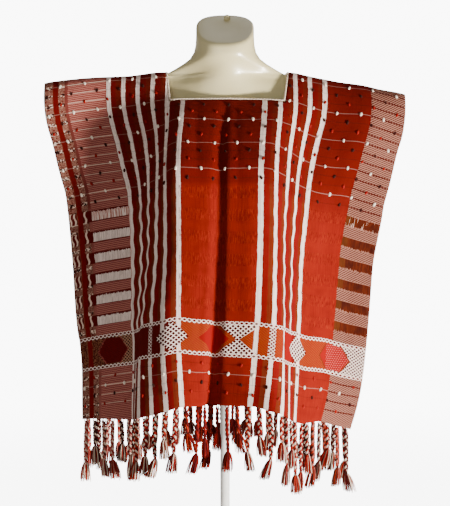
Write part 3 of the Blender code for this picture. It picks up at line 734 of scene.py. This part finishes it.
# Yarns of the fringe, tufts and neck cord, each with its main colour and its darker one
yarnShades = {
    "maroon": ((92, 16, 18), (50, 8, 10)),
    "crimson": ((150, 22, 14), (88, 9, 8)),
    "rust": ((168, 44, 18), (104, 18, 8)),
    "cream": ((226, 206, 184), (170, 138, 118)),
    "brown": ((58, 22, 16), (28, 10, 8)),
    "pink": ((190, 112, 100), (120, 52, 46)),
    "white": ((252, 238, 220), (220, 192, 170)),
}
yarns = {name: yarnMaterial(name + "Yarn", colour(*main), colour(*dark))
         for name, (main, dark) in yarnShades.items()}
yarnNames = list(yarns)


# Round yarns in one mesh, each run given as its points, radii in mm, yarn name and whether it is closed
def yarnPiece(name, runs, roundness):
    curve = bpy.data.curves.new(name, "CURVE")
    curve.dimensions = "3D"
    curve.bevel_depth = mm
    curve.bevel_resolution = roundness
    curve.use_fill_caps = True
    for yarn in yarnNames:
        curve.materials.append(yarns[yarn])
    for points, radii, yarn, closed in runs:
        spline = curve.splines.new("POLY")
        spline.points.add(len(points) - 1)
        spline.material_index = yarnNames.index(yarn)
        spline.use_cyclic_u = closed
        for point, place, radius in zip(spline.points, points, radii):
            point.co = (*place, 1)
            point.radius = radius
    holder = placed(name + "Path", curve)
    bpy.context.view_layer.update()
    mesh = bpy.data.meshes.new_from_object(holder.evaluated_get(bpy.context.evaluated_depsgraph_get()))
    bpy.data.objects.remove(holder)
    mesh.name = name
    mesh.shade_smooth()
    return placed(name, mesh)


fringe = {
    "endInset": 0.010,
    "plaitSwing": 2.8, "plaitDepth": 1.5, "plaitYarn": 2.1, "plaitTurn": 0.0148, "plaitSpread": 0.0042,
    "twistSwing": 1.7, "twistDepth": 1.7, "twistYarn": 2.15, "twistTurn": 0.018, "twistSpread": 0.00546,
    "rootLength": 0.008, "step": 0.00135,
    "tassel": 0.036, "tasselYarns": 34, "tasselFlare": 0.0098, "tasselYarn": 1.15,
    "tieTurns": 2.5, "tiePoints": 19, "tieTall": 0.0042, "tieWide": 2.1, "tieDeep": 1.9, "tieYarn": 0.85,
}
frontStrands = (  # length and lean in mm
    (120, 1), (88, -1), (112, -2), (114, 0), (82, 2), (112, -1), (116, 1), (96, 0), (114, -2), (108, 1),
    (116, 2), (86, -1), (118, -3), (84, -1), (122, -3), (96, 1), (118, -1), (84, 0), (120, 2), (86, 1),
    (118, -2), (88, 1), (122, -2), (86, -1), (122, -3), (90, 1), (134, -2), (126, 0), (96, 1), (122, -1),
    (112, 1), (84, -1), (116, 2), (124, 5),
)
backStrands = [(106 + 14 * math.sin(2.4 * k) * math.cos(0.7 * k), math.sin(1.7 * k)) for k in range(32)]

# The yarns that the strands take in turn, up to each s
redYarns = ("maroon crimson cream", "crimson brown cream", "maroon rust cream")
strandYarns = (
    (0.125, ("pink crimson cream", "brown maroon cream", "pink maroon cream")),
    (0.268, redYarns),
    (0.405, ("maroon crimson", "maroon rust", "crimson maroon")),
    (0.600, redYarns),
    (0.700, ("brown maroon cream", "crimson brown cream", "brown rust pink")),
)


def yarnsFor(s, k):
    return next(turns for end, turns in strandYarns if s <= end)[k % 3].split()


def fringeOf(name, form, facing, strands, seed):
    chance = random.Random(seed)
    pitch = (cloth["width"] - 2 * fringe["endInset"]) / (len(strands) - 1)
    cords, tassels, wraps = [], [], []
    for k, (length, lean) in enumerate(strands):
        s = fringe["endInset"] + pitch * k
        hem = cloth["halfLength"] + 0.0005
        normal = outwardAt(form, s, hem - 0.004, facing)
        root = pointOn(form, s, hem) + normal * 0.0008
        along = pointOn(form, s + 0.004, hem) - pointOn(form, s - 0.004, hem)
        along.z = 0
        along.normalize()
        out = Vector((along.y, -along.x, 0)) * facing
        length, lean = length * mm, lean * mm
        tie = length - fringe["tassel"]
        swayTurn, swaySize = chance.uniform(0, 6.28), chance.uniform(0.6, 1.6) * mm
        bow = chance.uniform(-1.5, 1.5) * mm

        # The strand's own line, down from the hem
        def line(down):
            share = down / length
            sway = swaySize * (math.sin(swayTurn + share * 4.2) - math.sin(swayTurn))
            side = lean * share + sway * min(1, share * 3)
            return root + along * side + out * (bow * math.sin(share * 2.6)) - Vector((0, 0, down))

        names = yarnsFor(s, k)
        count = round(tie / fringe["step"])
        turnAt = chance.uniform(0, 6.28)
        plaited = len(names) == 3
        kind = "plait" if plaited else "twist"
        for n, yarn in enumerate(names):
            points, radii = [], []
            for i in range(count + 1):
                down = tie * i / count
                gather = min(1, down / fringe["rootLength"])
                gather = gather * gather * (3 - 2 * gather)
                spread = (n - (len(names) - 1) / 2) * fringe[kind + "Spread"] * (1 - gather)
                phase = 2 * math.pi * (down / fringe[kind + "Turn"] + n / len(names)) + turnAt
                side = fringe[kind + "Swing"] * mm * math.sin(phase) * gather
                swing = math.sin(2 * phase) if plaited else math.cos(phase)
                deep = fringe[kind + "Depth"] * mm * swing * gather
                thick = fringe[kind + "Yarn"]
                if plaited:
                    thick *= 0.88 if yarn == "cream" else 1.04
                ends = min(1, (tie - down) / 0.006 * 0.5 + 0.5)
                tight = 1 - 0.35 * max(0, 1 - (tie - down) / 0.012)
                points.append(line(down) + along * (spread + side * tight) + out * deep * tight)
                radii.append(thick * (0.40 + 0.60 * gather) * ends)
            cords.append((points, radii, yarn, False))

        # The tie: a few turns of yarn, then the loose ends
        middle = line(tie)
        turns = []
        for i in range(fringe["tiePoints"]):
            share = i / (fringe["tiePoints"] - 1)
            turn = share * 2 * math.pi * fringe["tieTurns"]
            side, deep = fringe["tieWide"] * mm * math.cos(turn), fringe["tieDeep"] * mm * math.sin(turn)
            rise = Vector((0, 0, (0.5 - share) * fringe["tieTall"]))
            turns.append(middle + along * side + out * deep + rise)
        wraps.append((turns, [fringe["tieYarn"]] * len(turns), names[0], False))
        angle = chance.uniform(-0.34, 0.22) + lean * 20
        openness = chance.uniform(0.75, 1.15)
        for n in range(fringe["tasselYarns"]):
            around = n * 2.39996
            far = math.sqrt((n + 0.5) / fringe["tasselYarns"])
            long = fringe["tassel"] * chance.uniform(0.86, 1.02)
            curl = chance.uniform(-1.2, 1.2) * mm
            usual = chance.random() < 0.8
            yarn = names[n % len(names)] if usual else chance.choice(("maroon", "crimson", "rust"))
            points, radii = [], []
            for share in (0, 0.15, 0.34, 0.55, 0.78, 1.0):
                bulge = (0.30 + 0.95 * share ** 0.55 - 0.18 * share ** 3) * fringe["tasselFlare"]
                bulge = bulge * openness * far
                sideways = math.cos(around) * bulge * 1.15 + angle * long * share + curl * share * share
                outward = math.sin(around) * bulge * 0.85 + curl * math.sin(3 * share)
                offset = along * sideways + out * outward
                points.append(middle + offset - Vector((0, 0, long * share)))
                radii.append(fringe["tasselYarn"] * (0.9 - 0.35 * share))
            tassels.append((points, radii, yarn, False))
    plaits = yarnPiece(name + "Plaits", cords, 1)
    ends = yarnPiece(name + "Tassels", tassels + wraps, 0)
    for piece in (plaits, ends):
        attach(piece, "root")
    return plaits, ends


frontPlaits, frontTassels = fringeOf("front", frontCloth, 1, frontStrands, 11)
backPlaits, backTassels = fringeOf("back", backCloth, -1, backStrands, 23)
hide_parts("fringe_front")
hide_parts("fringe_back")
print("fringe plaited")

# Woven-in tufts: rows of white, brown and red in turn, each row moved half a step
tufts = {
    "rowFirst": 0.0170, "rowPitch": 0.017667, "apart": 0.0465, "offset": 0.0310,
    "upperRows": range(0, 14), "lowerRows": range(32, 36),
    "halfWide": 2.8, "halfTall": 3.9, "halfThick": 1.8, "jitter": 1.8,
}


def matrixFrom(x, y, z, at):
    return Matrix(((x.x, y.x, z.x, at.x), (x.y, y.y, z.y, at.y), (x.z, y.z, z.z, at.z), (0, 0, 0, 1)))


def tuftSpots(neckT, chance):
    for row in (*tufts["upperRows"], *tufts["lowerRows"]):
        rowT = tufts["rowFirst"] + tufts["rowPitch"] * row
        s = (tufts["offset"] + tufts["apart"] / 2 * (row % 2)) % tufts["apart"]
        while s < cloth["width"]:
            at = s + chance.uniform(-1, 1) * tufts["jitter"] * mm
            t = rowT + weftShift(at / mm, rowT / mm) * mm
            down = max(t, 0.006) + chance.uniform(-0.4, 0.4) * tufts["jitter"] * mm
            inNeck = cloth["neckLeft"] - 0.006 < at < cloth["neckRight"] + 0.006 and down < neckT + 0.0035
            if 0.004 < at < cloth["width"] - 0.004 and not inNeck:
                yield ("white", "brown", "crimson")[row % 3], at, down
            s += tufts["apart"]


def tuftsOf(wanted):
    chance = random.Random(5)
    joined = bmesh.new()
    for side, (form, facing, neckT) in halves.items():
        for yarn, s, t in tuftSpots(neckT, chance):
            tilt, size = chance.uniform(-0.5, 0.5), chance.uniform(0.85, 1.12)
            if yarn != wanted:
                continue
            normal = outwardAt(form, s, t, facing)
            down = (pointOn(form, s, t + 0.003) - pointOn(form, s, t - 0.003)).normalized()
            crosswise = down.cross(normal)
            tall = (down * math.cos(tilt) + crosswise * math.sin(tilt)).normalized()
            wide = tall.cross(normal)
            centre = surfaceAt(form, side, s, t, facing, cloth["thickness"] + 0.0006)
            place = matrixFrom(wide * tufts["halfWide"] * mm * size, tall * tufts["halfTall"] * mm * size,
                               normal * tufts["halfThick"] * mm * size, centre)
            made = bmesh.ops.create_uvsphere(joined, u_segments=8, v_segments=6, radius=1, matrix=place)
            for vertex in made["verts"]:
                local = vertex.co - centre
                pinch = 1 - 0.16 * math.cos(local.dot(tall) / mm * 1.9)
                vertex.co = centre + tall * local.dot(tall) + (local - tall * local.dot(tall)) * pinch
    bmesh.ops.recalc_face_normals(joined, faces=joined.faces)
    made = pieceFrom(wanted + "Tufts", joined, yarns[wanted])
    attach(made, "root")


for name in ("white", "brown", "crimson"):
    tuftsOf(name)
print("tufts set in rows")

# The neck's twisted cord
neckCord = {
    "cordRadius": 0.0016, "seam": 0.0003, "clear": 0.0004, "corner": 0.004, "lift": 0.0009,
    "step": 0.0008, "plySwing": 0.80, "plyRadius": 0.95, "plyTurn": 0.0058,
}


def neckSide(side):
    form, facing, neckT = halves[side]
    inset = neckCord["cordRadius"] + neckCord["seam"] + neckCord["clear"]
    corner = neckCord["corner"]
    left, right = cloth["neckLeft"] + inset, cloth["neckRight"] - inset
    low = neckT - inset
    flat = [(left, low * k / 6) for k in range(6)]
    flat += [(left, low - corner), (left + corner * 0.3, low - corner * 0.3), (left + corner, low)]
    flat += [(left + corner + (right - left - 2 * corner) * k / 14, low) for k in range(1, 14)]
    flat += [(right - corner, low), (right - corner * 0.3, low - corner * 0.3), (right, low - corner)]
    flat += [(right, low * k / 6) for k in range(5, -1, -1)]
    centres = []
    for s, t in flat:
        s = s - cloth["neckFlare"] * max(0, 1 - t / neckT) * (1 if s < (left + right) / 2 else -1)
        centres.append(pointOn(form, s, t) + outwardAt(form, s, max(t, 0.004), facing) * neckCord["lift"])
    return centres


def evenly(points, step):
    lengths = [0]
    for a, b in zip(points, points[1:]):
        lengths.append(lengths[-1] + (b - a).length)
    count = round(lengths[-1] / step)
    made, k = [], 0
    for i in range(count):
        at = lengths[-1] * i / count
        while lengths[k + 1] < at:
            k += 1
        made.append(points[k].lerp(points[k + 1], (at - lengths[k]) / (lengths[k + 1] - lengths[k])))
    return made


neckLoop = neckSide("front") + neckSide("back")[::-1][1:-1]
middles = evenly(neckLoop + [neckLoop[0]], neckCord["step"])
turnCount = round(len(middles) * neckCord["step"] / neckCord["plyTurn"])
swing = neckCord["plySwing"] * mm
plies = []
for n in range(2):
    points = []
    for i, middle in enumerate(middles):
        forward = (middles[(i + 1) % len(middles)] - middles[i - 1]).normalized()
        sideways = forward.cross(Vector((0, -1, 0.3))).normalized()
        upward = sideways.cross(forward)
        phase = 2 * math.pi * (turnCount * i / len(middles) + n / 2)
        points.append(middle + sideways * (swing * math.cos(phase)) + upward * (swing * math.sin(phase)))
    plies.append((points, [neckCord["plyRadius"]] * len(points), ("cream", "white")[n], True))
neckTwist = yarnPiece("neckTwist", plies, 1)
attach(neckTwist, "root")
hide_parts("neck_binding")
print("neck corded")

# The form and its stand
shellFinish = {
    "base": colour(230, 217, 166), "shade": colour(204, 188, 136), "roughness": 0.32, "coat": 0.20,
}
paintFinish = {
    "base": colour(246, 245, 241), "shade": colour(228, 225, 218), "roughness": 0.38, "coat": 0.15,
}


def shellMaterial():
    made, tree, shader = newMaterial("creamShell", shellFinish["roughness"], coat=shellFinish["coat"])
    shader.inputs["Coat Roughness"].default_value = 0.18
    wash, grain = grainIn(tree, scale=9, detail=3), grainIn(tree, scale=160, detail=4)
    shade = mixed((wash - 0.4) * 1.6, shellFinish["base"], shellFinish["shade"])
    tree.links.new(shade, shader.inputs["Base Color"])
    tree.links.new((wash * 0.10 + grain * 0.10 + 0.22).socket, shader.inputs["Roughness"])
    raised(shader, wash * 2.0 + grain * 0.2, strength=0.12, distance=0.6 * mm)
    return made


def paintMaterial():
    made, tree, shader = newMaterial("palePaint", paintFinish["roughness"], coat=paintFinish["coat"])
    grain = grainIn(tree, scale=55, detail=5)
    shade = mixed((grain - 0.45) * 1.2, paintFinish["base"], paintFinish["shade"])
    tree.links.new(shade, shader.inputs["Base Color"])
    tree.links.new((grain * 0.25 + 0.28).socket, shader.inputs["Roughness"])
    raised(shader, grain, strength=0.2, distance=0.3 * mm)
    return made


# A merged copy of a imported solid, shaded smooth between its edges
def smoothCopy(node, name, finish, angle):
    copy = bmesh.new()
    copy.from_mesh(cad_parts[node].data)
    bmesh.ops.remove_doubles(copy, verts=copy.verts, dist=0.00002)
    made = pieceFrom(name, copy, finish)
    made.data.set_sharp_from_angle(angle=math.radians(angle))
    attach(made, "root")
    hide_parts(node)
    return made


shellPlastic, palePaint = shellMaterial(), paintMaterial()
formShell = smoothCopy("dress_form", "formShell", shellPlastic, 50)

# The small moulded nub at the upper edge of the neck's cap
capTop = max((v.co for v in formShell.data.vertices), key=lambda at: at.z)
nub = {"halfWide": 0.0062, "halfTall": 0.0064, "halfDeep": 0.0046, "across": 0.004, "below": 0.0075}
dome = bmesh.new()
place = Matrix.Translation((nub["across"], capTop.y - nub["below"] * 1.33 - 0.001, capTop.z - nub["below"]))
shape = Matrix.Diagonal((nub["halfWide"], nub["halfDeep"], nub["halfTall"], 1))
bmesh.ops.create_uvsphere(dome, u_segments=24, v_segments=14, radius=1, matrix=place @ shape)
capNub = pieceFrom("capNub", dome, shellPlastic)
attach(capNub, "root")
for node, name in (("stand_pole", "standPole"), ("stand_base", "standBase")):
    smoothCopy(node, name, palePaint, 35)
print("form and stand finished")

# Camera, floor and light
picture = {"cameraAway": 2.2, "cameraHeight": 0.551, "pixel": 0.00193, "wide": 450, "sensor": 36}
camera = bpy.data.cameras.new("camera")
camera.sensor_fit = "HORIZONTAL"
camera.sensor_width = picture["sensor"]
camera.lens = picture["sensor"] * picture["cameraAway"] / (picture["pixel"] * picture["wide"])
cameraHolder = placed("camera", camera)
cameraHolder.location = (0, -picture["cameraAway"], picture["cameraHeight"])
cameraHolder.rotation_euler = (math.pi / 2, 0, 0)
bpy.context.scene.camera = cameraHolder

studio = {
    "key": {"at": (2.14, -1.42, -0.42), "size": 0.42, "power": 258, "tint": (1.0, 0.96, 0.90)},
    "fill": {"at": (-1.2, -2.8, 0.7), "size": 2.4, "power": 20, "tint": (1.0, 0.98, 0.96)},
    "top": {"at": (0.6, 0.9, 2.6), "size": 1.6, "power": 8, "tint": (1, 1, 1)},
    "back": {"at": (-1.0, 2.4, 0.7), "size": 1.2, "power": 110, "tint": (1, 0.98, 0.95)},
}
for name, v in studio.items():
    light = bpy.data.lights.new(name, "AREA")
    light.shape = "DISK"
    light.size = v["size"]
    light.energy = v["power"]
    light.color = v["tint"]
    holder = placed(name, light)
    holder.location = v["at"]
    holder.rotation_euler = (Vector((0, 0, 0.55)) - Vector(v["at"])).to_track_quat("-Z", "Y").to_euler()

surround = {"seen": (1, 1, 1, 1), "seenStrength": 9.5, "gives": (1.0, 0.95, 0.86, 1), "strength": 0.19}
world = bpy.data.worlds.new("studio")
bpy.context.scene.world = world
world.use_nodes = True
tree = world.node_tree
tree.nodes.clear()
seen, gives = tree.nodes.new("ShaderNodeBackground"), tree.nodes.new("ShaderNodeBackground")
seen.inputs[0].default_value = surround["seen"]
seen.inputs[1].default_value = surround["seenStrength"]
gives.inputs[0].default_value = surround["gives"]
gives.inputs[1].default_value = surround["strength"]
path, blend, out = (tree.nodes.new("ShaderNode" + n) for n in ("LightPath", "MixShader", "OutputWorld"))
tree.links.new(path.outputs["Is Camera Ray"], blend.inputs[0])
for source, target in ((gives, blend.inputs[1]), (seen, blend.inputs[2]), (blend, out.inputs[0])):
    tree.links.new(source.outputs[0], target)

floorPlan = {"radius": 9, "grey": 0.82, "glowShare": 0.82, "fadeFrom": 0.6, "fadeTo": 2.2}
floorFinish = bpy.data.materials.new("paleFloor")
floorFinish.use_nodes = True
disc = bmesh.new()
bmesh.ops.create_circle(disc, cap_ends=True, segments=64, radius=floorPlan["radius"])
floor = pieceFrom("floor", disc, floorFinish)
tree = floorFinish.node_tree
tree.nodes.clear()
kinds = ("TexCoord", "VectorMath", "MapRange", "BsdfDiffuse", "Emission", "LightPath", "Math", "MixShader",
         "BsdfTransparent", "MixShader", "OutputMaterial")
place, length, reach, matt, glow, path, share, blend, clear, fade, out = (
    tree.nodes.new("ShaderNode" + kind) for kind in kinds)
matt.inputs[0].default_value = (*[floorPlan["grey"]] * 3, 1)
glow.inputs[0].default_value = surround["seen"]
glow.inputs[1].default_value = surround["seenStrength"]
share.operation = "MULTIPLY"
share.inputs[1].default_value = floorPlan["glowShare"]
length.operation = "LENGTH"
reach.interpolation_type = "SMOOTHSTEP"
reach.inputs["From Min"].default_value = floorPlan["fadeFrom"]
reach.inputs["From Max"].default_value = floorPlan["fadeTo"]
tree.links.new(path.outputs["Is Camera Ray"], share.inputs[0])
tree.links.new(place.outputs["Object"], length.inputs[0])
tree.links.new(length.outputs["Value"], reach.inputs["Value"])
for source, target in (
    (share, blend.inputs[0]), (matt, blend.inputs[1]), (glow, blend.inputs[2]), (reach, fade.inputs[0]),
    (blend, fade.inputs[1]), (clear, fade.inputs[2]), (fade, out.inputs[0]),
):
    tree.links.new(source.outputs[0], target)
floor.visible_shadow = False
print("camera and light set")
